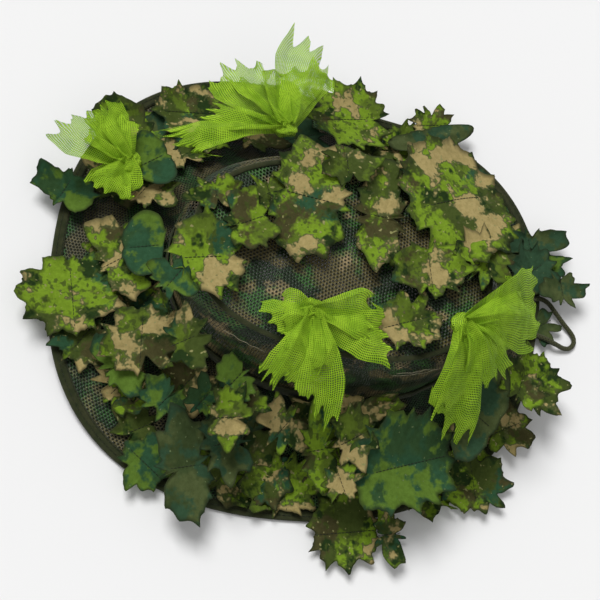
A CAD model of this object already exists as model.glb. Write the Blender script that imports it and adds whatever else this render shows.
"""Looks of the leaf-covered bush hat: printed leaf cloth, honeycomb mesh, sheer bows and the rear drawcord.

Lengths are in millimetres about the middle of the head opening, as the hat is designed, until place() turns
them into metres in the CAD model's frame.
"""

import math
from collections import namedtuple

import bpy
import numpy as np
from mathutils import Matrix, Vector, noise
from mathutils.bvhtree import BVHTree


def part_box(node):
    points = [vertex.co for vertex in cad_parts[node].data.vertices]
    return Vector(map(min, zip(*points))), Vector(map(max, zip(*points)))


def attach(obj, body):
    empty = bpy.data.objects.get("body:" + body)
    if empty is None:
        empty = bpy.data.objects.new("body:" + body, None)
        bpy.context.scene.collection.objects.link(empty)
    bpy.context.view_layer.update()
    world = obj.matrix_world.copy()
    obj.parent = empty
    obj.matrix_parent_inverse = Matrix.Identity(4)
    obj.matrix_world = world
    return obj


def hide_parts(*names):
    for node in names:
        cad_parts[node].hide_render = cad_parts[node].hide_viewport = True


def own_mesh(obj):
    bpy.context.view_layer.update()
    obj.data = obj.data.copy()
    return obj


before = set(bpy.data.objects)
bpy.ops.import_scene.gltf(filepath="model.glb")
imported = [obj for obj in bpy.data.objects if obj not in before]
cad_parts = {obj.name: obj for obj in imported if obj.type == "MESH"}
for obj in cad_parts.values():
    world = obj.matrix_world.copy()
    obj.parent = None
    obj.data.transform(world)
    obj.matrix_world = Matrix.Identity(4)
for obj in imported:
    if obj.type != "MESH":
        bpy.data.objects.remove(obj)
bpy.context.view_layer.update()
HAT = "hat"
MM = 0.001

# ------ the hat's surfaces

CROWN_BASE_Z = 36.0
# The crown's oval at each height: z, half length, half width, squareness, centre x and y.
CROWN_LEVELS = (
    (36.4, 109.0, 82.0, 2.2, 0.0, 0.0),
    (54.0, 112.0, 81.0, 2.2, -1.0, -1.0),
    (80.0, 113.0, 78.0, 2.25, -2.5, -2.5),
    (98.0, 112.0, 75.0, 2.3, -4.0, -4.5),
    (108.0, 109.0, 72.0, 2.3, -5.0, -6.0),
    (114.0, 103.0, 67.0, 2.3, -5.0, -7.0),
)
CROWN_DOME = 3.0
BRIM_HALF_LENGTH = 183.0
BRIM_HALF_WIDTH = 166.0
BRIM_SQUARENESS = 2.5
BRIM_OFF_CENTRE = 5.0
# Where the brim's edge is cut back (depth, direction and spread) and how it waves (height, count, phase).
BRIM_TRIMS = ((10.0, -28, 32), (5.0, -60, 25), (12.0, 80, 30))
BRIM_WAVES = ((0.62, 2, 0.9), (0.48, 3, -2.3))
BRIM_EDGE_Z = 2.8
BRIM_FLAT = 8.0
BRIM_CURVE = 1.6
BRIM_WAVE = 7.0
BRIM_CLOTH = 1.6
LEAF_CLOTH = 0.8
LEAF_CLEARANCE = 1.6
CROWN_CLEARANCE = 4.0
WALL_OVAL = (113.5, 82.5, 2.2)
WALL_CLEARANCE = 4.5
DROOP_ROUNDING = 12.0


def design_shift():
    """From the hat's own frame to the CAD model's: the crown's top panel shows where the hat was moved to."""
    low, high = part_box("crown_top_panel")
    _, _, _, _, x, y = CROWN_LEVELS[-1]
    middle = (Vector(low) + Vector(high)) / 2
    return Vector((middle.x - x * MM, middle.y - y * MM, 0.0))


SHIFT = design_shift()


def place(point):
    return Vector(point) * MM + SHIFT


def polar(r, angle, z):
    """The point at a distance from the Z axis, in a direction and at a height."""
    return (r * math.cos(angle), r * math.sin(angle), z)


def turned(x, y, u, w, angle):
    """The plan position of a point of a piece that lies at x, y and is turned by the angle."""
    return (
        x + u * math.cos(angle) - w * math.sin(angle),
        y + u * math.sin(angle) + w * math.cos(angle),
    )


def oval_radius(angle, half_length, half_width, squareness):
    along = abs(math.cos(angle) / half_length) ** squareness
    across = abs(math.sin(angle) / half_width) ** squareness
    return (along + across) ** (-1.0 / squareness)


def bump(angle, centre_deg, width_deg):
    away = (math.degrees(angle) - centre_deg + 180.0) % 360.0 - 180.0
    return math.exp(-((away / width_deg) ** 2))


def crown_oval(z):
    levels = np.array(CROWN_LEVELS)
    return [float(np.interp(z, levels[:, 0], levels[:, i])) for i in range(1, 6)]


def crown_point(angle, z, outward=0.0):
    half_length, half_width, squareness, x, y = crown_oval(z)
    r = oval_radius(angle, half_length, half_width, squareness) + outward
    return (x + r * math.cos(angle), y + r * math.sin(angle), z)


def brim_root(angle):
    return oval_radius(angle, *CROWN_LEVELS[0][1:4])


def brim_radius(angle):
    r = oval_radius(angle, BRIM_HALF_LENGTH, BRIM_HALF_WIDTH, BRIM_SQUARENESS)
    r += BRIM_OFF_CENTRE * (math.sin(angle) - math.cos(angle))
    return r - sum(depth * bump(angle, heading, spread) for depth, heading, spread in BRIM_TRIMS)


def brim_edge_z(angle):
    wave = sum(height * math.sin(count * angle + phase) for height, count, phase in BRIM_WAVES)
    return BRIM_EDGE_Z + BRIM_WAVE * max(0.0, wave) ** 1.5


def brim_top(angle, r):
    root = brim_root(angle)
    edge = brim_edge_z(angle)
    share = (r - root) / (brim_radius(angle) - BRIM_FLAT - root)
    share = min(1.0, max(0.0, share))
    return edge + (CROWN_BASE_Z - edge) * (1.0 - share) ** BRIM_CURVE


def on_brim(x, y, lift):
    """A plan position laid on the brim; past the foot of the crown it climbs the wall."""
    angle = math.atan2(y, x)
    r = math.hypot(x, y)
    nearest = oval_radius(angle, *WALL_OVAL) + WALL_CLEARANCE
    climb = max(0.0, nearest - r)
    r = max(r, nearest)
    z = brim_top(angle, r) + LEAF_CLEARANCE + lift + climb
    return polar(r, angle, z)


def on_crown(x, y, lift, droop):
    """A plan position laid on the crown's top; past the top edge the cloth stands out and falls away."""
    z0, half_length, half_width, squareness, x0, y0 = CROWN_LEVELS[-1]
    angle = math.atan2(y - y0, x - x0)
    edge = oval_radius(angle, half_length, half_width, squareness)
    r = math.hypot(x - x0, y - y0)
    z = z0 + CROWN_CLEARANCE + CROWN_DOME * max(0.0, 1.0 - (r / edge) ** 2)
    z -= droop * (math.hypot(max(0.0, r - edge), DROOP_ROUNDING) - DROOP_ROUNDING)
    return (x, y, z + lift)


def laid(x, y, lift, droop):
    if droop is None:
        return on_brim(x, y, lift)
    return on_crown(x, y, lift, droop)


def ripple(point, size, seed):
    """Smooth noise from -1 to 1 with features of a size in millimetres."""
    return noise.noise(Vector(point) / size + Vector((seed * 7.31, seed * 3.17, seed * 5.73)))


# ------ meshes


def new_piece(name, points, faces, material, body=HAT, uv=None, rim=None):
    """A smooth piece from points in millimetres, with its cloth coordinates and nearness to a cut edge."""
    mesh = bpy.data.meshes.new(name)
    mesh.from_pydata([place(p) for p in points], [], faces)
    mesh.materials.append(MATERIALS[material])
    corners = np.empty(len(mesh.loops), np.int32)
    mesh.loops.foreach_get("vertex_index", corners)
    for layer, values in (("cloth", uv), ("rim", rim)):
        if values is not None:
            values = np.array(values, float)[corners]
            mesh.uv_layers.new(name=layer).data.foreach_set("uv", values.ravel())
    mesh.shade_smooth()
    made = bpy.data.objects.new(name, mesh)
    bpy.context.scene.collection.objects.link(made)
    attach(made, body)
    return made


def grid_faces(rows, columns, closed=False):
    """Faces of a grid of points stored row by row; a closed grid joins its last row to its first."""
    faces = []
    for i in range(rows if closed else rows - 1):
        ahead = (i + 1) % rows * columns
        for j in range(columns - 1):
            a = i * columns + j
            faces.append((a, ahead + j, ahead + j + 1, a + 1))
    return faces


def stands_for(node):
    """Says which CAD solid a piece takes the place of."""
    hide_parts(node)


def full_circle(count, closed=False):
    """Evenly spaced angles all the way round, with the first one again at the end if closed."""
    return [2.0 * math.pi * i / count for i in range(count + closed)]


def run_along(points):
    """How far along a line each of its points lies."""
    return np.concatenate([[0.0], np.cumsum(np.linalg.norm(np.diff(np.array(points), axis=0), axis=1))])


def evenly(points, count):
    """A number of evenly spaced points on a line through the points."""
    points = np.array(points, float)
    run = run_along(points)
    marks = np.linspace(0.0, run[-1], count)
    return np.stack([np.interp(marks, run, points[:, i]) for i in range(3)], axis=1)


def direction(line, i):
    """Which way a line runs at one of its points."""
    return Vector(line[min(i + 1, len(line) - 1)] - line[max(i - 1, 0)]).normalized()


def ring_point(centre, side, other, radius, turn):
    """A point of a ring about a centre, in the plane of two directions."""
    return tuple(centre + radius * (side * math.cos(turn) + other * math.sin(turn)))


def thicken(piece, thickness, offset=-1.0):
    """Gives a single-layer sheet its cloth's thickness."""
    modifier = piece.modifiers.new("thickness", "SOLIDIFY")
    modifier.thickness = thickness * MM
    modifier.offset = offset
    modifier.use_even_offset = False


def weld(piece):
    """Joins the points that a closed grid repeats."""
    piece.modifiers.new("seam", "WELD").merge_threshold = 0.00001


# ------ materials

LIME = (0.190, 0.310, 0.022)
MOSS = (0.110, 0.168, 0.020)
OLIVE = (0.060, 0.086, 0.018)
DARK_GREEN = (0.020, 0.042, 0.010)
TEAL = (0.030, 0.088, 0.042)
BROWN = (0.070, 0.066, 0.024)
TAN = (0.410, 0.325, 0.135)
BOW_GREEN = (0.370, 0.590, 0.032)
BOW_SHADE = (0.230, 0.400, 0.018)
BOW_GAP = (0.110, 0.240, 0.012)
TAN_RIM = (0.095, 0.110, 0.040)
TAN_FLECK = (0.300, 0.290, 0.120)
GREEN_FLECK = (0.150, 0.200, 0.090)
MOTTLE = (0.58, 0.60, 0.50)
FADE = (0.62, 0.62, 0.60)
FUSED_RIM = (0.018, 0.024, 0.010)
MESH_HOLE = (0.004, 0.006, 0.003)
BLACK = (0.0, 0.0, 0.0)


class Shader:
    """Builds a node material one step at a time."""

    def __init__(self, name, roughness, sheen=0.0, metallic=0.0):
        self.material = bpy.data.materials.new(name)
        self.material.use_nodes = True
        self.tree = self.material.node_tree
        self.out = self.tree.nodes["Principled BSDF"]
        self.surface(Roughness=roughness, Metallic=metallic, Sheen_Weight=sheen, Specular_IOR_Level=0.08)

    def node(self, kind, **settings):
        made = self.tree.nodes.new(kind)
        for key, value in settings.items():
            setattr(made, key, value)
        return made

    def feed(self, socket, value):
        """Gives an input a fixed value, or links it to another node's output."""
        if isinstance(value, bpy.types.NodeSocket):
            self.tree.links.new(value, socket)
        else:
            socket.default_value = value

    def feeds(self, node, **values):
        """Feeds a node's inputs by name, with _ for a space."""
        for name, value in values.items():
            self.feed(node.inputs[name.replace("_", " ")], value)

    def surface(self, **values):
        """Feeds the surface that the material ends in."""
        self.feeds(self.out, **values)

    def cloth_coordinates(self, layer="cloth"):
        return self.node("ShaderNodeUVMap", uv_map=layer).outputs["UV"]

    def object_coordinates(self):
        """The place on the piece, in millimetres."""
        return self.vectors("SCALE", self.node("ShaderNodeTexCoord").outputs["Object"], 1.0 / MM)

    def vectors(self, operation, vector, other):
        """One step of vector arithmetic with a socket, a fixed vector or, to scale by, a number."""
        made = self.node("ShaderNodeVectorMath", operation=operation)
        self.feed(made.inputs[0], vector)
        self.feed(made.inputs["Scale" if operation == "SCALE" else 1], other)
        return made.outputs["Value" if operation == "DOT_PRODUCT" else 0]

    def noise(self, vector, size, seed, detail=4.0, roughness=0.6):
        """Noise whose features have a size in millimetres."""
        made = self.node("ShaderNodeTexNoise")
        elsewhere = self.vectors("ADD", vector, (seed * 131.0, seed * 57.0, seed * 23.0))
        self.feeds(made, Vector=elsewhere, Scale=1.0 / size, Detail=detail, Roughness=roughness)
        return made.outputs["Fac"]

    def drifting(self, vector, size, amount):
        """The vector pushed about by smooth noise, so that a weave runs unevenly."""
        drift = self.node("ShaderNodeTexNoise")
        self.feeds(drift, Vector=vector, Scale=1.0 / size)
        return self.vectors("ADD", vector, self.vectors("SCALE", drift.outputs["Color"], amount))

    def maths(self, operation, *values):
        made = self.node("ShaderNodeMath", operation=operation)
        for socket, value in zip(made.inputs, values):
            self.feed(socket, value)
        return made.outputs[0]

    def times(self, value, factor):
        return self.maths("MULTIPLY", value, factor)

    def step(self, value, edge, softness):
        """0 below the edge and 1 above it."""
        made = self.node("ShaderNodeMapRange")
        self.feeds(made, Value=value, From_Min=edge - softness, From_Max=edge + softness)
        return made.outputs["Result"]

    def mix(self, share, first, second, blend="MIX"):
        made = self.node("ShaderNodeMix", data_type="RGBA", blend_type=blend)
        for socket, value in zip((made.inputs["Factor"], *made.inputs[6:8]), (share, first, second)):
            self.feed(socket, (*value, 1.0) if isinstance(value, tuple) else value)
        return made.outputs[2]

    def colour(self, value):
        self.surface(Base_Color=value)

    def relief(self, height, depth):
        """Bump of a depth in millimetres."""
        made = self.node("ShaderNodeBump")
        self.feeds(made, Strength=1.0, Distance=depth * MM, Height=height)
        self.surface(Normal=made.outputs["Normal"])

    def see_through(self, gaps):
        self.surface(Alpha=self.maths("SUBTRACT", 1.0, gaps))

    def apart(self, vector):
        """The vector's X and Y, each by itself."""
        split = self.node("ShaderNodeSeparateXYZ")
        self.feeds(split, Vector=vector)
        return split.outputs["X"], split.outputs["Y"]

    def wave(self, vector, x, y):
        """A cosine wave that runs along a direction, as often as the direction is long."""
        return self.maths("COSINE", self.vectors("DOT_PRODUCT", vector, (x, y, 0.0)))

    def threads(self, vector, pitch):
        """Plain weave: crossing threads at a pitch in millimetres, from 0 in the gaps to 1 on a thread."""
        turns = 2.0 * math.pi / pitch
        rows = [self.wave(vector, turns, 0.0), self.wave(vector, 0.0, turns)]
        return self.maths("MULTIPLY_ADD", self.maths("MAXIMUM", *rows), 0.5, 0.5)

    def honeycomb(self, vector, pitch):
        """High in the middle of each hole of a honeycomb mesh and low on its threads."""
        turns = 4.0 * math.pi / (math.sqrt(3.0) * pitch)
        headings = [math.radians(heading) for heading in (0.0, 120.0, 240.0)]
        waves = [self.wave(vector, turns * math.cos(a), turns * math.sin(a)) for a in headings]
        return self.maths("ADD", self.maths("ADD", *waves[:2]), waves[2])


def camo_cloth(name, lime, teal, tan, dark):
    """Printed leaf cloth: each number says how much of that colour the print has, from 0 to 1."""
    shader = Shader(name, roughness=0.9)
    cloth = shader.cloth_coordinates()
    grain = shader.noise(cloth, 3.6, 1.0, detail=1.0)

    def patch(size, seed, share, fine=0.16):
        """A patch of print that covers about this share of the cloth, with a speckled edge."""
        broad = shader.noise(cloth, size, seed, detail=2.0, roughness=0.5)
        speckled = shader.maths("ADD", broad, shader.times(grain, fine))
        middle = 0.5 + 0.5 * fine
        return speckled, middle + 0.24 * (0.5 - share)

    colour = LIME
    for tint, size, seed, share in (
        (MOSS, 38.0, 3.0, 1.06 - lime),
        (TEAL, 48.0, 4.0, teal),
        (OLIVE, 27.0, 2.0, 0.9 - lime),
        (BROWN, 34.0, 5.0, 0.6 * dark),
        (DARK_GREEN, 23.0, 6.0, 0.8 * dark),
    ):
        value, edge = patch(size, seed, share)
        colour = shader.mix(shader.step(value, edge, 0.028), colour, tint)
    spots = shader.noise(cloth, 4.4, 7.0, detail=1.0)
    colour = shader.mix(shader.times(shader.step(spots, 0.60, 0.03), 0.8), colour, OLIVE)
    value, edge = patch(25.0, 8.0, tan, fine=0.24)
    colour = shader.mix(shader.step(value, edge - 0.035, 0.016), colour, TAN_RIM)
    colour = shader.mix(shader.step(value, edge, 0.016), colour, TAN)
    flecks = shader.noise(cloth, 3.4, 9.0, detail=1.0)
    colour = shader.mix(shader.step(flecks, 0.70, 0.02), colour, TAN_FLECK)
    return finish_cloth(shader, colour, cloth)


def plain_cloth(name, tint, second, third):
    """Cloth cut from the quieter parts of the print."""
    shader = Shader(name, roughness=0.9)
    cloth = shader.cloth_coordinates()
    broad = shader.noise(cloth, 26.0, 11.0, detail=3.0)
    colour = shader.mix(shader.step(broad, 0.52, 0.05), tint, second)
    speckled = shader.noise(cloth, 19.0, 12.0, roughness=0.55)
    colour = shader.mix(shader.step(speckled, 0.505, 0.03), colour, third)
    flecks = shader.noise(cloth, 2.6, 13.0, detail=1.0)
    colour = shader.mix(shader.step(flecks, 0.74, 0.01), colour, GREEN_FLECK)
    return finish_cloth(shader, colour, cloth)


def finish_cloth(shader, colour, cloth):
    """Adds the weave, the fading and the dark fused rim that a hot cut leaves."""
    mottle = shader.step(shader.noise(cloth, 2.6, 16.0, detail=2.0), 0.52, 0.16)
    colour = shader.mix(shader.times(mottle, 0.55), colour, MOTTLE, "MULTIPLY")
    fade = shader.noise(cloth, 9.0, 15.0, detail=3.0)
    colour = shader.mix(shader.times(fade, 0.5), colour, FADE, "MULTIPLY")
    rim = shader.step(shader.apart(shader.cloth_coordinates("rim"))[0], 0.93, 0.05)
    shader.colour(shader.mix(shader.times(rim, 0.65), colour, FUSED_RIM))
    weave = shader.threads(cloth, 0.55)
    shader.relief(shader.maths("ADD", shader.times(weave, 0.5), fade), 0.25)
    return shader.material


def honeycomb_cloth(name, pitch, open_from, see_through, tints):
    """Camouflage-printed honeycomb mesh; the holes are see-through, or dark where a lining lies behind.

    open_from is the height of the comb's waves at which a hole starts, so a higher one leaves smaller holes.
    """
    shader = Shader(name, roughness=0.42)
    shader.surface(Specular_IOR_Level=0.26)
    cloth = shader.cloth_coordinates()
    colour, green, brown, pale = tints
    for tint, size, seed, edge, softness in (
        (green, 30.0, 21.0, 0.52, 0.03),
        (brown, 34.0, 22.0, 0.53, 0.03),
        (pale, 21.0, 23.0, 0.62, 0.05),
    ):
        colour = shader.mix(shader.step(shader.noise(cloth, size, seed), edge, softness), colour, tint)
    comb = shader.honeycomb(shader.drifting(cloth, 11.0, 2.2), pitch)
    hole = shader.step(comb, open_from, 0.25)
    shader.colour(shader.mix(hole, colour, MESH_HOLE))
    if see_through:
        glints = shader.step(shader.noise(cloth, 26.0, 24.0, detail=2.0), 0.56, 0.05)
        shader.see_through(shader.times(hole, shader.maths("MULTIPLY_ADD", glints, 0.85, 0.05)))
    shader.relief(shader.times(comb, -0.33), 0.35)
    return shader.material


def sheer_cloth(name):
    """Bright open scrim: fine threads with gaps that show what is behind."""
    shader = Shader(name, roughness=0.7)
    cloth = shader.cloth_coordinates()
    weave = shader.threads(shader.drifting(cloth, 14.0, 1.0), 1.3)
    tone = shader.noise(cloth, 13.0, 31.0, detail=3.0)
    colour = shader.mix(shader.step(tone, 0.5, 0.12), BOW_GREEN, BOW_SHADE)
    shader.colour(shader.mix(shader.step(weave, 0.75, 0.25), BOW_GAP, colour))
    shader.see_through(shader.times(shader.maths("SUBTRACT", 1.0, shader.step(weave, 0.52, 0.22)), 0.85))
    shader.relief(weave, 0.25)
    return shader.material


def woven(name, tint, second, pitch, roughness=0.8):
    """Plain woven tape or twisted thread."""
    shader = Shader(name, roughness=roughness, sheen=0.08)
    where = shader.object_coordinates()
    weave = shader.threads(where, pitch)
    worn = shader.noise(where, 7.0, 41.0)
    colour = shader.mix(shader.times(shader.step(worn, 0.55, 0.15), 0.8), tint, second)
    shader.colour(shader.mix(shader.times(shader.maths("SUBTRACT", 1.0, weave), 0.5), colour, BLACK))
    shader.relief(weave, 0.15)
    return shader.material


BRAID_STRANDS = 4.0
BRAID_TWIST = 2.6  # how far the braid turns along the cord, in radians to the millimetre


def braided(name):
    """Round cord with a diagonal braid, darker between its strands."""
    shader = Shader(name, roughness=0.7, sheen=0.1)
    length, round_it = shader.apart(shader.cloth_coordinates())
    strands = []
    for side in (1.0, -1.0):
        turn = shader.times(round_it, side * BRAID_STRANDS * 2.0 * math.pi)
        run = shader.times(length, BRAID_TWIST)
        strands.append(shader.maths("SINE", shader.maths("ADD", run, turn)))
    braid = shader.maths("MULTIPLY_ADD", shader.maths("MAXIMUM", *strands), 0.5, 0.5)
    shader.colour(shader.mix(braid, (0.012, 0.013, 0.006), (0.062, 0.066, 0.030)))
    shader.relief(braid, 0.3)
    return shader.material


def moulded(name, tint, roughness, metallic):
    """Moulded plastic or plated metal with fine pits and light scuffs."""
    shader = Shader(name, roughness=roughness, metallic=metallic)
    where = shader.object_coordinates()
    pits = shader.noise(where, 0.5, 51.0, detail=2.0)
    scuffs = shader.noise(where, 4.0, 52.0, detail=6.0, roughness=0.75)
    worn = shader.times(shader.step(scuffs, 0.6, 0.1), 0.5)
    shader.colour(shader.mix(worn, tint, tuple(3.0 * c for c in tint)))
    shader.surface(Roughness=shader.maths("MULTIPLY_ADD", scuffs, 0.3, roughness - 0.15))
    shader.relief(pits, 0.05)
    return shader.material


CROWN_TINTS = ((0.009, 0.022, 0.006), (0.028, 0.085, 0.016), (0.085, 0.072, 0.026), (0.230, 0.175, 0.085))
BRIM_TINTS = ((0.011, 0.030, 0.008), (0.024, 0.076, 0.016), (0.050, 0.046, 0.018), (0.120, 0.105, 0.046))
OLIVE_TINTS = ((0.078, 0.102, 0.036), (0.046, 0.070, 0.024), (0.034, 0.078, 0.040))
TEAL_TINTS = (TEAL, (0.034, 0.078, 0.028), (0.105, 0.185, 0.026))
MATERIALS = {
    "camo_green": camo_cloth("camo_green", lime=0.74, teal=0.10, tan=0.04, dark=0.10),
    "camo_dark": camo_cloth("camo_dark", lime=0.42, teal=0.30, tan=0.06, dark=0.28),
    "camo_tan": camo_cloth("camo_tan", lime=0.60, teal=0.06, tan=0.15, dark=0.14),
    "plain_olive": plain_cloth("plain_olive", *OLIVE_TINTS),
    "plain_teal": plain_cloth("plain_teal", *TEAL_TINTS),
    "sheer_green": sheer_cloth("sheer_green"),
    "crown_mesh": honeycomb_cloth("crown_mesh", 2.5, 0.60, True, CROWN_TINTS),
    "brim_mesh": honeycomb_cloth("brim_mesh", 2.2, 0.35, False, BRIM_TINTS),
    "dark_tape": woven("dark_tape", (0.026, 0.034, 0.013), (0.052, 0.054, 0.024), 0.7),
    "cord": braided("cord"),
    "thread": woven("thread", (0.300, 0.270, 0.180), (0.200, 0.180, 0.110), 0.3, 0.6),
    "dark_thread": woven("dark_thread", (0.016, 0.022, 0.010), (0.030, 0.036, 0.016), 0.3, 0.6),
    "black_plastic": moulded("black_plastic", (0.012, 0.012, 0.012), 0.42, 0.0),
    "dark_metal": moulded("dark_metal", (0.110, 0.100, 0.080), 0.36, 1.0),
}

# ------ crown and brim

ROUND = 256  # steps round the crown and brim
CROWN_FOOT = CROWN_LEVELS[0][0]
CROWN_EDGE = CROWN_LEVELS[-1][0]
TAPE_CLOTH = 0.4
WELT_INSET = -1.6
WELT_HALF_WIDTH = 2.1
WELT_LIFT = 1.2
WELT_HEIGHT = 1.1
TOP_INSET = 1.2
TOP_LIFT = 0.6
BRIM_SLACK = 0.7
BINDING_REACH = 6.8  # how far the binding runs in over the brim's cloth
BINDING_LIFT = 1.1
BINDING_BULGE = 1.8
BAND_LOW = 37.0
BAND_HIGH = 66.0
BAND_OUTSIDE = -2.3
BAND_INSIDE = -3.5
CHANNEL_Z = 45.5
CHANNEL_HALF_HEIGHT = 7.4
CHANNEL_BULGE = 2.1
CHANNEL_PUCKERS = 48.0


def swept(name, section, lengthwise, slot, node, thickness=None):
    """A ring from a function that gives its section at an angle; one with a flat size is a sheet."""
    rows = [section(angle) for angle in full_circle(ROUND)]
    rows.append(rows[0])
    points = [p for row in rows for p in row]
    uv = [(lengthwise * i / ROUND, float(v)) for i, row in enumerate(rows) for v in run_along(row)]
    faces = grid_faces(ROUND + 1, len(rows[0]))
    piece = new_piece(name, points, faces, slot, uv=uv)
    weld(piece)
    if thickness:
        thicken(piece, thickness)
    stands_for(node)


def make_crown():
    def side(angle):
        row = []
        for z in np.linspace(CROWN_FOOT, CROWN_EDGE, 40):
            x, y, _ = crown_point(angle, z)
            slack = math.sin(math.pi * (z - CROWN_FOOT) / (CROWN_EDGE - CROWN_FOOT))
            waves = 1.4 * ripple((x, y, z * 0.4), 26.0, 1) + 0.5 * ripple((x, y, z), 9.0, 2)
            row.append(crown_point(angle, z, slack * waves - 0.4))
        return row

    def welt(angle):
        row = []
        for turn in np.linspace(0.0, math.pi, 9):
            x, y, z = crown_point(angle, CROWN_EDGE, WELT_INSET + WELT_HALF_WIDTH * math.cos(turn))
            row.append((x, y, z + WELT_LIFT + WELT_HEIGHT * math.sin(turn)))
        return row

    swept("crown_side_cloth", side, 630.0, "crown_mesh", "crown_side_band")
    swept("crown_seam_binding", welt, 560.0, "dark_tape", "crown_top_seam_tape", thickness=TAPE_CLOTH)
    z0, half_length, half_width, squareness, x0, y0 = CROWN_LEVELS[-1]
    rings = 34
    points = []
    for angle in full_circle(ROUND) + [0.0]:
        for share in np.linspace(0.0, 1.0, rings):
            r = share * (oval_radius(angle, half_length, half_width, squareness) - TOP_INSET)
            x, y = x0 + r * math.cos(angle), y0 + r * math.sin(angle)
            slack = 1.0 - share**4
            dip = slack * (1.5 * ripple((x, y, 0), 34.0, 3) + 0.6 * ripple((x, y, 0), 12.0, 4))
            points.append((x, y, z0 + TOP_LIFT + CROWN_DOME * (1.0 - share * share) + dip))
    uv = [(x, y) for x, y, _ in points]
    faces = grid_faces(ROUND + 1, rings)
    top = new_piece("crown_top_cloth", points, faces, "crown_mesh", uv=uv)
    weld(top)
    stands_for("crown_top_panel")


def brim_height(angle, r):
    """The brim's upper face with the small waves of its stitched cloth."""
    share = (r - brim_root(angle)) / (brim_radius(angle) - brim_root(angle))
    slack = max(0.0, math.sin(math.pi * min(1.0, max(0.0, share))))
    return brim_top(angle, r) + BRIM_SLACK * slack * ripple(polar(r, angle, 0), 22.0, 5)


def make_brim():
    def cloth(angle):
        root, edge = brim_root(angle) - 1.5, brim_radius(angle)
        radii = np.linspace(root, edge, 36)
        row = [polar(r, angle, brim_height(angle, r)) for r in radii]
        return row + [(x, y, z - BRIM_CLOTH) for x, y, z in row[::-1]] + row[:1]

    def binding(angle):
        edge = brim_radius(angle)
        inner = edge - BINDING_REACH
        top = brim_top(angle, edge) + BINDING_LIFT
        low = top - 2.0 * BINDING_LIFT - BRIM_CLOTH
        middle = (top + low) / 2
        half = (top - low) / 2
        row = [(inner, top - 0.3)]
        row += [(inner + 0.8 + 1.3 * i, top) for i in range(4)]
        for turn in np.linspace(0.0, math.pi, 9):
            row.append((edge - 0.6 + BINDING_BULGE * math.sin(turn), middle + half * math.cos(turn)))
        row += [(inner + 4.7 - 1.3 * i, low) for i in range(4)]
        row += [(inner, low + 0.3), (inner + 0.2, low + 0.9), (edge - 0.2, low + 1.0)]
        row += [(edge - 0.2, top - 1.0), (inner + 0.2, top - 0.9), row[0]]
        return [polar(r, angle, z) for r, z in row]

    swept("brim_cloth", cloth, 900.0, "brim_mesh", "brim")
    swept("brim_edge_tape", binding, 1060.0, "dark_tape", "brim_binding")


def make_bands():
    def sweatband(angle):
        outer, inner = [], []
        for share in np.linspace(0.0, 1.0, 12):
            z = BAND_LOW + share * (BAND_HIGH - BAND_LOW)
            outer.append(crown_point(angle, z, BAND_OUTSIDE))
            inner.append(crown_point(angle, z, BAND_INSIDE - 0.4 * math.sin(math.pi * share)))
        return outer + inner[::-1] + outer[:1]

    def channel(angle):
        row = []
        for turn in np.linspace(0.0, math.pi, 17):
            z = CHANNEL_Z - CHANNEL_HALF_HEIGHT * math.cos(turn)
            bulge = abs(math.sin(turn))
            pucker = 0.35 * math.sin(CHANNEL_PUCKERS * angle + 2.0 * math.sin(5.0 * angle)) * bulge
            row.append(crown_point(angle, z, 0.5 + CHANNEL_BULGE * bulge**0.6 + pucker))
        return row

    swept("sweatband_cloth", sweatband, 590.0, "dark_tape", "sweatband")
    swept("drawcord_channel_cloth", channel, 600.0, "dark_tape", "drawcord_channel", thickness=TAPE_CLOTH)


# ------ thread


def thread_runs(name, runs, radius, material, sides=4):
    """Thin threads along runs of points in millimetres, joined into one piece."""
    points, faces = [], []
    for run in runs:
        start = len(points)
        run = [Vector(p) for p in run]
        for i, point in enumerate(run):
            along = direction(run, i)
            side = along.cross(Vector((0.31, 0.17, 0.93))).normalized()
            other = along.cross(side)
            size = radius * (0.35 if i in (0, len(run) - 1) else 1.0)
            points += [ring_point(point, side, other, size, turn) for turn in full_circle(sides)]
        rings = len(run)
        for i in range(rings - 1):
            for k in range(sides):
                a = start + i * sides + k
                b = start + i * sides + (k + 1) % sides
                faces.append((a, b, b + sides, a + sides))
        faces.append(tuple(start + k for k in reversed(range(sides))))
        faces.append(tuple(start + (rings - 1) * sides + k for k in range(sides)))
    new_piece(name, points, faces, material)


def stitch(start, end, rise):
    """One stitch from hole to hole, arched a little."""
    start, end = Vector(start), Vector(end)
    run = []
    for share in (0.08, 0.25, 0.5, 0.75, 0.92):
        point = start.lerp(end, share)
        point.z += rise * math.sin(math.pi * share)
        run.append(tuple(point))
    return run


def stitched_line(points, length, rise=0.25):
    """Stitches of a length along a line of points."""
    spots = evenly(points, max(2, int(run_along(points)[-1] / length)) + 1)
    return [stitch(a, b, rise) for a, b in zip(spots, spots[1:])]


def make_seam_threads():
    """Two rows of stitches on the brim's binding and three round the crown."""
    runs = []
    angles = full_circle(360, closed=True)
    for inset in (2.0, 5.6):
        line = []
        for angle in angles:
            r = brim_radius(angle) - inset
            line.append(polar(r, angle, brim_top(angle, r) + 1.25))
        runs += stitched_line(line, 3.6)
    for z, out in ((37.6, 1.2), (54.4, 0.6), (111.0, 0.5)):
        runs += stitched_line([crown_point(angle, z, out) for angle in angles], 3.4)
    thread_runs("seam_stitches", runs, 0.22, "dark_thread")


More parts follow.
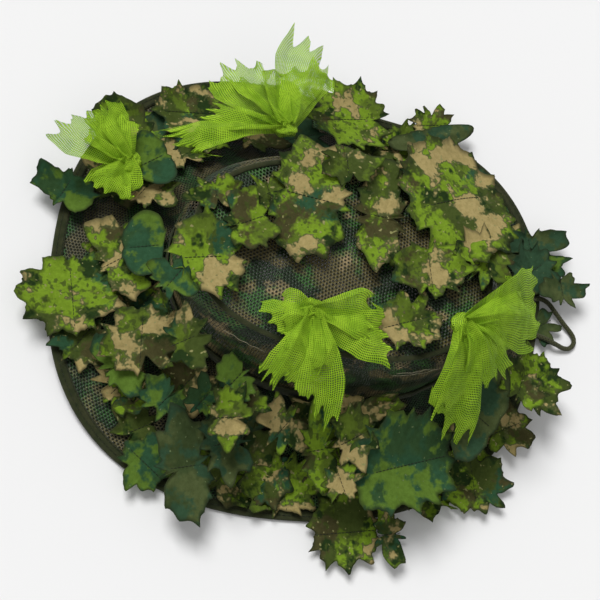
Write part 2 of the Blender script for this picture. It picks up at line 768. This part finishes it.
def make_loose_threads():
    """Pale frayed ends and loops of thread here and there along the crown's seams."""
    runs = []
    for start_deg, end_deg, z, out, seed in (
        (-86, -60, 51.0, 3.4, 1),
        (-84, -62, 49.0, 4.0, 2),
        (-60, -40, 104.0, 2.2, 3),
        (-58, -42, 106.0, 1.6, 4),
        (-140, -122, 104.0, 1.6, 5),
        (112, 124, 108.0, 1.6, 6),
    ):
        run = []
        for share in np.linspace(0.0, 1.0, 26):
            angle = math.radians(start_deg + share * (end_deg - start_deg))
            x, y, height = crown_point(angle, z, out)
            height += 2.2 * ripple((share * 60, seed * 9, 0), 11.0, seed)
            x += 1.6 * ripple((share * 60, seed * 9, 5), 9.0, seed)
            run.append((x, y, height))
        runs.append(run)
    thread_runs("loose_threads", runs, 0.22, "thread", sides=5)


# ------ leaves

# depth is how far a leaf's points stand out of the bays between them and curl how high its ends rise;
# droop, in the leaves that lie on the crown, is how steeply they fall past its edge.
LEAF_FIELDS = "name x y heading length width tail_lift tip_lift cloth droop depth curl"
Leaf = namedtuple("Leaf", LEAF_FIELDS, defaults=(None, 9.5, 8.0))


def leaves(prefix, *rows):
    return [Leaf(prefix + row[0], *row[1:]) for row in rows]


# Leaves as in the CAD model.
LEAVES = leaves(
    "leaf_",
    ("front_outer", -171, -33, 13, 76, 58, 4, 12, "camo_green", None, 10.0, 7.0),
    ("dark_teal_front", -188, 46, -19, 48, 30, 6, 8, "plain_teal", None, 8.0, 7.0),
    ("far_brown", -109, 124, -83, 48, 52, 6, 10, "camo_dark", None, 8.0, 6.0),
    ("far_bright", 77, 158, -76, 32, 38, 3, 3, "camo_green"),
    ("far_folded", 75, 143, 25, 70, 13, 8, 6, "plain_olive", None, 2.0, 5.0),
    ("back_curled", 162, 76, 14, 60, 18, 6, 8, "plain_olive"),
    ("under_cord", 176, 14, -54, 34, 30, 0, 0, "plain_olive"),
    ("slim_front", -134, -80, -50, 56, 22, 6, 8, "plain_teal"),
    ("near_spiky", -103, -139, -125, 44, 36, 8, 3, "plain_teal", None, 9.0, 5.0),
    ("near_teal", -100, -100, -36, 40, 25, 4, 5, "plain_teal"),
    ("near_fine", -6, -139, 16, 66, 42, 2, 2, "camo_green"),
    ("edge_tan", 41, -164, -77, 56, 54, 4, 1, "camo_tan", None, 9.0, 2.0),
    ("edge_bright", 72, -161, -74, 46, 22, 5, 2, "camo_green"),
    ("back_spiky", 132, -115, 13, 58, 42, 3, 3, "camo_dark", None, 9.0, 5.0),
    ("back_camo", 153, -71, -59, 42, 38, 5, 3, "camo_tan"),
    ("near_long_olive", -80, -141, -73, 80, 36, 10, 4, "plain_olive", None, 10.0, 5.0),
    ("near_olive_teal", -56, -123, -67, 58, 32, 8, 6, "plain_olive"),
    ("near_camo", -19, -108, -34, 44, 28, 8, 6, "camo_tan"),
    ("near_narrow_camo", 7, -119, -71, 60, 24, 10, 5, "camo_tan"),
    ("near_small_teal", -76, -99, -33, 30, 22, 12, 12, "plain_teal"),
    ("near_small_tan", -48, -99, -2, 30, 18, 12, 12, "camo_tan"),
    ("near_wall_teal", -60, -88, -36, 32, 18, 20, 16, "plain_teal"),
    ("near_wall_tan", 28, -92, 12, 56, 20, 14, 14, "camo_tan"),
    ("near_big_teal", 65, -122, -68, 66, 82, 10, 6, "plain_teal", None, 10.0, 8.0),
    ("near_plain", 114, -82, -112, 66, 25, 16, 10, "plain_olive", None, 2.5, 9.0),
    ("back_teal", 165, -40, -40, 56, 42, 12, 6, "camo_dark"),
    ("back_sheer", 162, 51, -48, 46, 46, 12, 9, "plain_olive"),
    ("back_dark", 188, 41, 12, 42, 26, 14, 12, "plain_olive"),
    ("front_camo", -145, -7, -54, 68, 30, 14, 14, "camo_tan"),
    ("front_round_teal", -130, 2, -83, 44, 24, 20, 20, "plain_teal", None, 1.5, 9.0),
    ("front_olive", -134, 48, -31, 50, 32, 20, 20, "camo_dark"),
    ("front_upright_olive", -154, 85, -69, 65, 42, 14, 18, "camo_dark", None, 6.0, 9.0),
    ("front_upright_teal", -134, 66, -54, 41, 22, 30, 26, "plain_teal", None, 2.0, 10.0),
    ("front_wall_tan", -122, -64, 6, 60, 44, 18, 24, "camo_tan"),
    ("far_camo", 9, 142, -76, 68, 62, 14, 18, "camo_green", None, 10.0, 6.0),
    ("top_front_lime", -96, 20, 20, 42, 26, 0, 0, "camo_green", 1.2),
    ("top_front_pair", -62, 27, 23, 38, 26, 1, 1, "camo_tan", 1.2),
    ("top_front_big", -96, -25, -78, 62, 50, 2, 0, "camo_green", 1.0),
    ("top_tan", 15, 26, -90, 88, 34, 0, 0, "camo_tan", 1.2),
    ("top_lime_pair", -35, 28, -94, 98, 54, 2, 2, "camo_green", 1.2, 10.0, 6.0),
    ("top_back_big", 68, 50, -65, 102, 82, 2, 2, "camo_tan", 0.6, 9.0, 9.0),
    ("top_back_low", 40, -44, -66, 40, 50, 1, 0, "camo_tan", 1.2),
    ("top_back_lime", 51, -7, 13, 61, 38, 2, 1, "camo_green", 1.2),
)

# Leaves that fill in under the others, and a few that lie over them.
UNDER_LEAVES = leaves(
    "under_leaf_",
    ("front_camo", -140, 3, 16, 62, 40, 2, 3, "camo_green"),
    ("front_far", -152, 62, -40, 56, 40, 1, 2, "camo_dark"),
    ("front_inner", -122, -32, -34, 52, 34, 3, 5, "camo_dark"),
    ("front_edge", -160, -62, -31, 54, 38, 1, 2, "camo_dark"),
    ("front_near", -128, -88, -37, 54, 34, 2, 3, "camo_green"),
    ("front_near_low", -112, -116, -60, 46, 32, 1, 2, "camo_dark"),
    ("far_front", -136, 98, 43, 60, 38, 1, 2, "plain_olive"),
    ("far_front_inner", -112, 88, 23, 48, 30, 4, 6, "camo_dark"),
    ("far_middle", -62, 116, -13, 56, 34, 3, 3, "camo_dark"),
    ("far_bow", -24, 122, -60, 48, 40, 2, 3, "plain_olive"),
    ("far_camo_low", 32, 122, -20, 50, 34, 2, 4, "camo_dark"),
    ("far_bright", 58, 136, 76, 44, 38, 1, 2, "camo_green"),
    ("near_front", -86, -84, -38, 58, 34, 4, 4, "camo_dark"),
    ("near_middle", -52, -96, -10, 54, 32, 4, 4, "plain_olive"),
    ("near_low", -48, -136, -39, 58, 36, 1, 1, "camo_dark"),
    ("near_low_camo", -22, -130, -60, 56, 36, 1, 2, "camo_dark"),
    ("near_low_right", 24, -128, -42, 54, 38, 1, 1, "camo_tan"),
    ("near_centre", 6, -98, -40, 56, 36, 3, 3, "camo_green"),
    ("near_right", 58, -92, -6, 56, 34, 5, 4, "camo_dark"),
    ("near_corner", 92, -122, -31, 58, 40, 1, 1, "camo_green"),
    ("back_near", 122, -62, -37, 62, 42, 3, 3, "camo_dark"),
    ("back_near_edge", 128, -98, -60, 56, 40, 1, 1, "camo_green"),
    ("back_far", 148, 72, -18, 56, 38, 1, 2, "camo_dark"),
    ("back_far_edge", 172, 62, 20, 46, 30, 1, 2, "plain_teal"),
    ("far_corner", 104, 118, 12, 50, 32, 1, 2, "plain_olive"),
    ("far_front_edge", -122, 114, 37, 56, 38, 1, 3, "camo_dark"),
    ("wall_near", 12, -88, 13, 54, 28, 4, 4, "camo_dark"),
)
OVER_LEAVES = leaves(
    "small_leaf_",
    ("front", -115, -42, -33, 38, 24, 0, 2, "plain_teal"),
    ("front_near", -100, -78, -60, 42, 26, 0, 2, "camo_dark"),
    ("near_low", -60, -112, -80, 44, 26, 0, 2, "camo_green"),
    ("near_edge", 24, -140, 30, 32, 24, 0, 2, "camo_tan"),
    ("near_centre", 26, -112, -56, 46, 30, 0, 2, "camo_dark"),
    ("back_near", 142, -56, -10, 44, 26, 0, 3, "camo_green"),
    ("far_middle", -90, 100, 20, 40, 26, 0, 3, "camo_dark"),
    ("crown_front", -74, 2, -60, 46, 34, 0, 0, "camo_green", 1.2),
    ("crown_far", -12, 56, 10, 44, 30, 0, 0, "camo_dark", 1.2),
    ("crown_back", 88, 8, -40, 50, 38, 0, 0, "camo_green", 0.9),
)

LOBE_SPACING = 20.0
LEAF_RINGS = 11
SPOKE_SPACING = 1.35
FEWEST_SPOKES = 72
MOST_SPOKES = 190
LEAF_SHEET = 0.35
SEAM_SHARE = 0.8  # how much of a leaf's width its seam crosses
LEAF_GROWTH = 3.5  # how far a leaf's points reach past the CAD solid's plain outline
LEAF_SQUARENESS = 2.3
LEAF_HOVER = 0.4
CEILING_GAP = 1.0
OPEN_SKY = 100.0
CAD_TAPER = (2.6, 0.55)  # the powers that round off the CAD leaf's outline
CAD_WAVE = 0.10
CAD_TIP = 0.16


def leaf_lift(leaf):
    """How far the CAD model raised this leaf to clear what lies under it."""
    heights = []
    for t in np.linspace(-1, 1, 9):
        for v in np.linspace(-1, 1, 3 if leaf.droop is None else 5):
            body = (1.0 - abs(t) ** CAD_TAPER[0]) ** CAD_TAPER[1]
            body *= 1.0 + CAD_WAVE * math.cos(3.0 * math.pi * t)
            half = leaf.width / 2 * max(CAD_TIP, body)
            heights.append(leaf_place(leaf, t * leaf.length / 2, v * half)[2])
    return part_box(leaf.name)[1][2] / MM - LEAF_CLOTH - max(heights)


def leaf_place(leaf, u, w, extra=0.0):
    """Where a point of the leaf lies: u runs from its middle to its tip and w from side to side."""
    x, y = turned(leaf.x, leaf.y, u, w, math.radians(leaf.heading))
    lift = leaf.tail_lift + (leaf.tip_lift - leaf.tail_lift) * (u * 2.0 / leaf.length + 1.0) / 2
    return laid(x, y, lift + extra, leaf.droop)


class Ceiling:
    """The undersides of the CAD leaves and bows, which tell how far the cloth under them may rise."""

    def __init__(self):
        self.leaves = self.gathered("leaf_")
        self.tree = self.gathered(("leaf_", "mesh_bow"))

    def gathered(self, start_of_name):
        """The CAD solids whose names start so, as one searchable tree."""
        points, faces = [], []
        for name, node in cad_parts.items():
            if name.startswith(start_of_name):
                start = len(points)
                points += [node.matrix_world @ v.co for v in node.data.vertices]
                faces += [tuple(start + i for i in face.vertices) for face in node.data.polygons]
        return BVHTree.FromPolygons(points, faces)

    def room_over(self, point):
        """Free height over a point in millimetres, past the leaf's own cloth."""
        start = place(point) + Vector((0.0, 0.0, (LEAF_CLOTH + 0.1) * MM))
        hit = self.tree.ray_cast(start, Vector((0.0, 0.0, 1.0)))
        return OPEN_SKY if hit[0] is None else (hit[0].z - start.z) / MM

    def lift_over(self, leaf):
        """How far a leaf has to rise to lie over the CAD leaves in its way."""
        lift = 0.0
        for u in np.linspace(-0.5, 0.5, 9) * leaf.length:
            for w in np.linspace(-0.5, 0.5, 7) * leaf.width:
                base = place(leaf_place(leaf, u, w))
                hit = self.leaves.ray_cast(Vector((base.x, base.y, 1.0)), Vector((0.0, 0.0, -1.0)))
                if hit[0] is not None:
                    lift = max(lift, (hit[0].z - base.z) / MM + 1.0)
        return lift


def cut_edge(leaf, seed, angle):
    """Radius of a leaf's cut edge in one direction: uneven points with round bays between them."""
    depth = min(leaf.depth, 0.42 * leaf.width)
    half_length, half_width = leaf.length / 2 + LEAF_GROWTH, leaf.width / 2 + LEAF_GROWTH
    r = oval_radius(angle, half_length, half_width, LEAF_SQUARENESS)
    lobes = max(4, round(math.pi * (half_length + half_width) / LOBE_SPACING))
    heading = (3.0 * math.cos(angle), 3.0 * math.sin(angle), seed)
    phase = angle * lobes / (2.0 * math.pi) + 0.45 * ripple(heading, 1.7, seed)
    bay = math.sin(math.pi * (phase % 1.0) ** 0.8) ** 0.8
    small = abs(math.sin(2.6 * math.pi * phase)) ** 0.8
    uneven = 0.80 + 0.9 * ripple(heading, 1.1, seed + 9)
    return max(3.0, r - depth * uneven * bay - 0.15 * depth * small)


def leaf_rise(leaf, seed, u, w, share):
    """How far the cloth stands over the flat leaf: sewn down across its middle, curled elsewhere."""
    curl = min(leaf.curl, 0.13 * leaf.length)
    t = 2.0 * u / leaf.length
    far = abs(t)
    rise = curl * min(1.2, far) ** 2.2 * (0.7 + 0.6 * ripple((t, seed, 0), 0.9, seed))
    rise += 0.28 * curl * share**3 * (1.0 + 2.0 * ripple((u, w, 0), 17.0, seed + 20))
    rise += 1.5 * ripple((u, w, 0), 14.0, seed) * min(1.0, 2.5 * far)
    rise += 0.45 * ripple((u, w, 0), 5.0, seed + 40)
    vein = math.exp(-((w / (0.10 * leaf.width + 1.5)) ** 2))
    rise += 2.2 * vein * min(1.0, 2.0 * far) * math.cos(seed * 1.7)
    return rise - 0.9 * math.exp(-((t / 0.08) ** 2))


def make_leaf(leaf, seed, lift, ceiling):
    """A leaf of cloth laid where the table says, with as much curl as there is room for."""
    outline_length = math.pi * (leaf.length + leaf.width) / 2
    spokes = int(min(MOST_SPOKES, max(FEWEST_SPOKES, outline_length / SPOKE_SPACING)))
    points, flat, uv, rim = [], [], [], []
    for angle in full_circle(spokes):
        edge = cut_edge(leaf, seed, angle)
        for k in range(LEAF_RINGS):
            share = (k / (LEAF_RINGS - 1)) ** 0.85
            u, w, _ = polar(share * edge, angle, 0.0)
            x, y, z = leaf_place(leaf, u, w, lift + LEAF_HOVER)
            room = ceiling.room_over((x, y, z)) - CEILING_GAP
            rise = min(leaf_rise(leaf, seed, u, w, share), max(-0.3, 0.9 * room))
            points.append((x, y, z + max(-0.9, rise)))
            flat.append((u, w, 0.0))
            uv.append((u + seed * 83.0, w + seed * 47.0))
            rim.append((share, 0.0))
    faces = grid_faces(spokes, LEAF_RINGS, closed=True)
    piece = new_piece(leaf.name + "_cloth", points, faces, leaf.cloth, uv=uv, rim=rim)
    weld(piece)
    thicken(piece, LEAF_SHEET, 0.0)
    seam = np.linspace(-SEAM_SHARE, SEAM_SHARE, 12) * leaf.width / 2
    line = [leaf_place(leaf, 0.0, w, lift + LEAF_HOVER - 0.5) for w in seam]
    return piece, stitched_line(line, 2.6, 0.3)


def make_leaves():
    stitches = []
    ceiling = Ceiling()
    for seed, leaf in enumerate(LEAVES + UNDER_LEAVES + OVER_LEAVES):
        if leaf in LEAVES:
            lift = leaf_lift(leaf)
        elif leaf in UNDER_LEAVES:
            lift = 0.4 * (seed % 3)
        else:
            lift = ceiling.lift_over(leaf)
        piece, sewn = make_leaf(leaf, seed, lift, ceiling)
        if leaf in LEAVES:
            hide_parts(leaf.name)
        stitches += sewn
    thread_runs("leaf_stitches", stitches, 0.26, "dark_thread")


# ------ bows

# Bows as in the CAD model: name, centre x, y, lift, droop, then each lobe as length x, y, rise and width.
NEAR_LOBES = ((-28, -14, 0, 28), (-10, -50, 2, 34), (14, -64, 2, 30), (56, -16, 2, 34))
BACK_LOBES = ((76, 56, 2, 44), (46, 2, 2, 30), (42, -20, 0, 28), (6, -66, 0, 44))
BOWS = (
    ("mesh_bow_front", -150, 60, 26, None, ((-50, 24, 8, 40), (-16, -24, -6, 34), (-28, 38, 10, 26))),
    ("mesh_bow_far", -52, 88, 62, None, ((-48, 56, -8, 46), (26, 84, 4, 46), (-78, -10, -12, 26))),
    ("mesh_bow_near", -26, -52, 4, 1.2, NEAR_LOBES),
    ("mesh_bow_back", 76, -42, 7, 1.4, BACK_LOBES),
)
BOW_MIDDLE = 9.0
BOW_SPREAD = 0.62
KNOT_HEIGHT = 6.5
SHORT_TAIL = 0.74
SHORT_TAIL_SWING = 17.0
SHORT_TAIL_LIFT = 3.0


def bow_reach(lobes, angle):
    """How far the CAD bow stands out in one direction, and how much it has risen there."""
    reach, rise = BOW_MIDDLE, 0.0
    for x, y, up, width in lobes:
        length = math.hypot(x, y)
        share = bump(angle, math.degrees(math.atan2(y, x)), math.degrees(BOW_SPREAD * width / length))
        if share * length > reach:
            reach = share * length
            rise = share * up
    return reach, rise


def bow_lift(row):
    """How far the CAD model raised this bow to clear what lies under it."""
    name, x, y, lift, droop, lobes = row
    heights = [laid(x, y, lift, droop)[2]]
    for angle in full_circle(32):
        reach, rise = bow_reach(lobes, angle)
        for share in (0.35, 0.7, 1.0):
            px, py = x + share * reach * math.cos(angle), y + share * reach * math.sin(angle)
            heights.append(laid(px, py, lift + rise * share, droop)[2])
    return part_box(name)[1][2] / MM - LEAF_CLOTH - max(heights)


def bow_strip(row, lobe, seed, swing, reach, layer, lift):
    """One tail of a bow: a creased strip gathered at the knot, with a ragged slanting cut at its end."""
    _, x, y, base, droop, _ = row
    lx, ly, up, width = lobe
    length = math.hypot(lx, ly) * reach
    turn = math.atan2(ly, lx) + math.radians(swing)
    slant = 0.22 * math.cos(seed * 2.1)
    rows, columns = 44, 41
    points, uv = [], []
    for s in np.linspace(0.0, 1.0, rows):
        open_width = width * (0.24 + 0.76 * min(1.0, s * 1.5) ** 0.9)
        bend = 0.10 * length * math.sin(2.2 * s + seed) * s
        for v in np.linspace(-1.0, 1.0, columns):
            ragged = abs(ripple((v * 2.4, seed * 3.3, 0), 1.0, seed)) + 0.55 * abs(math.sin(5.5 * v + seed))
            run = length * (s - (slant * v + 0.26 * ragged + 0.10 * v * v) * s**7)
            side = v * open_width / 2 + bend
            side += 2.5 * s * ripple((run, seed * 5.0, 3.0 * v), 16.0, seed)
            crest = abs((1.3 * v + 0.35 * math.sin(3.0 * s + seed) + seed * 0.37) % 2.0 - 1.0)
            pleat = (crest - 0.4) * (0.25 * width) * (1.15 - 0.5 * s)
            fold = 3.0 * math.sin(math.pi * min(1.0, s * 1.05))
            crease = 1.8 * ripple((run, side, seed * 9.0), 11.0, seed)
            crease += 0.7 * ripple((run, side, 0), 4.5, seed)
            height = base + lift + up * s + 2.8 + layer + pleat + fold + crease
            points.append(laid(*turned(x, y, run, side, turn), height, droop))
            uv.append((v * width / 2 + seed * 61.0, s * length * 1.1 + seed * 37.0))
    return points, uv, grid_faces(rows, columns)


def bow_knot(row, seed, lift):
    """The gathered middle of a bow: a soft crumpled lump."""
    _, x, y, base, droop, _ = row
    rows, columns = 18, 29
    points, uv = [], []
    for polar in np.linspace(0.0, 0.62 * math.pi, rows):
        for turn in full_circle(columns - 1, closed=True):
            where = (2.0 * math.cos(turn), 2.0 * math.sin(turn), polar * 2.0)
            crumple = 1.0 + 0.22 * ripple(where, 0.8, seed)
            r = BOW_MIDDLE * math.sin(polar) * crumple
            px, py = x + r * math.cos(turn), y + r * math.sin(turn)
            height = base + lift + 2.5 + KNOT_HEIGHT * math.cos(polar) * crumple
            points.append(laid(px, py, height, droop))
            uv.append((BOW_MIDDLE * turn + seed * 11.0, BOW_MIDDLE * polar))
    return points, uv, grid_faces(rows, columns)


def make_bow(row, seed):
    lift = bow_lift(row)
    points, uv, faces = [], [], []
    parts = [bow_knot(row, seed, lift)]
    for k, lobe in enumerate(row[-1]):
        swing = SHORT_TAIL_SWING if k % 2 else -SHORT_TAIL_SWING
        parts.append(bow_strip(row, lobe, seed + 5 * k, 0.0, 1.0, 0.0, lift))
        parts.append(bow_strip(row, lobe, seed + 5 * k + 2, swing, SHORT_TAIL, SHORT_TAIL_LIFT, lift))
    for some, their_uv, their_faces in parts:
        start = len(points)
        points += some
        uv += their_uv
        faces += [tuple(start + a for a in face) for face in their_faces]
    piece = new_piece(row[0] + "_cloth", points, faces, "sheer_green", uv=uv)
    stands_for(row[0])


# ------ drawcord and lock

CORD_DIAMETER = 3.6
SPRING_WIRE = 0.35
SPRING_TURNS = 4
SPRING_STEPS = 24  # steps to a turn
CORD_STEP = 0.9
CORD_ROUTE = (
    (115.6, 6.5, 45.5), (120.5, 6.4, 43.7), (125.5, 5.7, 39.3),
    (130.5, 5.1, 35.2), (137.0, 5.1, 30.5), (147.0, 5.1, 23.2),
    (156.5, 5.1, 16.3), (160.5, 8.0, 13.0), (163.0, 15.0, 10.4),
    (164.5, 24.5, 9.4), (167.5, 31.5, 9.2), (174.0, 34.5, 9.0),
    (181.0, 32.5, 8.4), (187.5, 27.3, 6.6), (195.7, 20.5, 4.0),
    (202.8, 14.6, 2.4), (205.5, 10.5, 2.1), (205.5, 6.0, 2.1),
    (202.2, 2.0, 2.3), (197.1, 0.8, 3.6), (192.0, 1.2, 6.0),
    (187.0, 2.0, 8.0), (180.0, 3.8, 8.9), (173.0, 4.8, 9.2),
    (167.0, 3.6, 10.0), (162.0, 1.6, 12.6), (156.5, 0.9, 16.3),
    (147.0, 0.9, 23.2), (137.0, 0.9, 30.5), (130.5, 0.9, 35.2),
    (125.5, 0.3, 39.3), (120.5, -0.4, 43.7), (115.6, -0.5, 45.5),
)


def smooth_route(route, step):
    """Evenly spaced points of a Catmull-Rom curve through the route's points."""
    route = np.array(route, float)
    padded = np.vstack([2 * route[0] - route[1], route, 2 * route[-1] - route[-2]])
    fine = []
    for a, b, c, d in zip(padded, padded[1:], padded[2:], padded[3:]):
        for t in np.linspace(0.0, 1.0, 20, endpoint=False):
            bend = (2 * a - 5 * b + 4 * c - d) * t**2 + (3 * b - a - 3 * c + d) * t**3
            fine.append(0.5 * (2 * b + (c - a) * t + bend))
    fine = np.array(fine + [route[-1]])
    length = float(run_along(fine)[-1])
    return evenly(fine, round(length / step) + 1), length


def make_spring():
    """The lock's spring as a wound wire, which flattens as the button is pressed."""
    low, high = ((Vector(corner) - place((0.0, 0.0, 0.0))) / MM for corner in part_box("cord_lock_spring"))
    centre = (low + high) / 2
    radius = (high.x - low.x) / 2 - SPRING_WIRE
    length = high.y - low.y - 2.0 * SPRING_WIRE
    steps, sides = SPRING_STEPS * SPRING_TURNS, 10
    points = []
    for i in range(steps + 1):
        turn = 2.0 * math.pi * i / SPRING_STEPS
        wire = SPRING_WIRE if 0 < i < steps else 0.01
        for around_wire in full_circle(sides, closed=True):
            r = radius + wire * math.cos(around_wire)
            y = low.y + SPRING_WIRE + length * i / steps + wire * math.sin(around_wire)
            points.append((centre.x + r * math.cos(turn), y, centre.z + r * math.sin(turn)))
    faces = grid_faces(steps + 1, sides + 1)
    coil = new_piece("lock_spring_coil", points, faces, "dark_metal", body="cord_lock")
    stands_for("cord_lock_spring")
    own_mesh(coil)
    return coil


def make_drawcord(spring):
    """The free loop of cord as a tube with the relief of its braid."""
    line, length = smooth_route(CORD_ROUTE, CORD_STEP)
    sides = 20
    points, uv = [], []
    side = Vector((0.0, 0.0, 1.0))
    for i, centre in enumerate(line):
        along = direction(line, i)
        side = (side - along * side.dot(along)).normalized()
        other = along.cross(side)
        twist = BRAID_TWIST * i * CORD_STEP
        for k, turn in enumerate(full_circle(sides, closed=True)):
            braid = max(math.sin(twist + BRAID_STRANDS * turn), math.sin(twist - BRAID_STRANDS * turn))
            r = CORD_DIAMETER / 2 * (0.98 + 0.035 * braid)
            points.append(ring_point(Vector(centre), side, other, r, turn))
            uv.append((i * CORD_STEP, k / sides))
    faces = grid_faces(len(line), sides + 1)
    cord = new_piece("drawcord_braid", points, faces, "cord", uv=uv)
    weld(cord)
    stands_for("drawcord")


def finish_lock():
    """The lock, its button and spring and the eyelets keep their CAD shape and get real materials."""
    for node, slot in (
        ("cord_lock_body", "black_plastic"),
        ("cord_lock_plunger", "black_plastic"),
        ("cord_eyelet_left", "dark_metal"),
        ("cord_eyelet_right", "dark_metal"),
    ):
        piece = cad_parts[node]
        piece.data.materials.clear()
        piece.data.materials.append(MATERIALS[slot])
        if slot == "black_plastic":
            edges = piece.modifiers.new("rounded", "BEVEL")
            edges.width = 0.25 * MM
            edges.segments = 2
            edges.limit_method = "ANGLE"


# ------ stage

CAMERA_AZIMUTH = -31.0
CAMERA_ELEVATION = 66.0
CAMERA_ROLL = 39.5
CAMERA_DISTANCE = 1.1
CAMERA_LENS = 93.7
CAMERA_SHIFT = (-0.04, -0.0225)
CAMERA_TARGET = (0.0, 0.0, 40.0)
FLOOR_GREY = 0.78
FLOOR_HALF = 6.0
FLOOR_DROP = 0.0005
SKY_STRENGTH = 0.36


def around(azimuth, elevation):
    """The direction from the hat to a viewer, with azimuth 0 in front of the +Y axis's foot."""
    a, e = math.radians(azimuth), math.radians(elevation)
    return Vector((math.sin(a) * math.cos(e), -math.cos(a) * math.cos(e), math.sin(e)))


def make_camera():
    data = bpy.data.cameras.new("camera")
    data.lens = CAMERA_LENS
    data.shift_x, data.shift_y = CAMERA_SHIFT
    camera = bpy.data.objects.new("camera", data)
    bpy.context.scene.collection.objects.link(camera)
    target = place(CAMERA_TARGET)
    camera.location = target + CAMERA_DISTANCE * around(CAMERA_AZIMUTH, CAMERA_ELEVATION)
    facing = (target - camera.location).to_track_quat("-Z", "Y").to_matrix().to_4x4()
    roll = Matrix.Rotation(math.radians(CAMERA_ROLL), 4, "Z")
    camera.matrix_world = Matrix.Translation(camera.location) @ facing @ roll
    bpy.context.scene.camera = camera


def make_sun(name, azimuth, elevation, softness_deg, strength):
    """A broad soft light from one side, the same all over the floor."""
    data = bpy.data.lights.new(name, "SUN")
    data.angle = math.radians(softness_deg)
    data.energy = strength
    light = bpy.data.objects.new(name, data)
    bpy.context.scene.collection.objects.link(light)
    light.matrix_world = (-around(azimuth, elevation)).to_track_quat("-Z", "Y").to_matrix().to_4x4()


def make_stage():
    floor_cloth = Shader("floor", roughness=0.9)
    floor_cloth.colour((FLOOR_GREY, FLOOR_GREY, FLOOR_GREY, 1.0))
    mesh = bpy.data.meshes.new("floor")
    corners = [(x * FLOOR_HALF, y * FLOOR_HALF, 0.0) for x, y in ((-1, -1), (1, -1), (1, 1), (-1, 1))]
    mesh.from_pydata(corners, [], [(0, 1, 2, 3)])
    mesh.materials.append(floor_cloth.material)
    floor = bpy.data.objects.new("floor", mesh)
    floor.location.z = -FLOOR_DROP
    bpy.context.scene.collection.objects.link(floor)
    world = bpy.data.worlds.new("studio")
    world.use_nodes = True
    sky = world.node_tree.nodes["Background"]
    sky.inputs["Color"].default_value = (1.0, 1.0, 1.0, 1.0)
    sky.inputs["Strength"].default_value = SKY_STRENGTH
    bpy.context.scene.world = world
    make_sun("key", 225.0, 62.0, 26.0, 2.60)
    make_sun("fill", 0.0, 65.0, 60.0, 0.30)
    bpy.context.scene.view_settings.view_transform = "Standard"


def main():
    make_camera()
    make_drawcord(make_spring())
    make_stage()
    finish_lock()
    make_crown()
    make_brim()
    make_bands()
    make_seam_threads()
    make_loose_threads()
    make_leaves()
    for seed, row in enumerate(BOWS, start=70):
        make_bow(row, seed)


main()
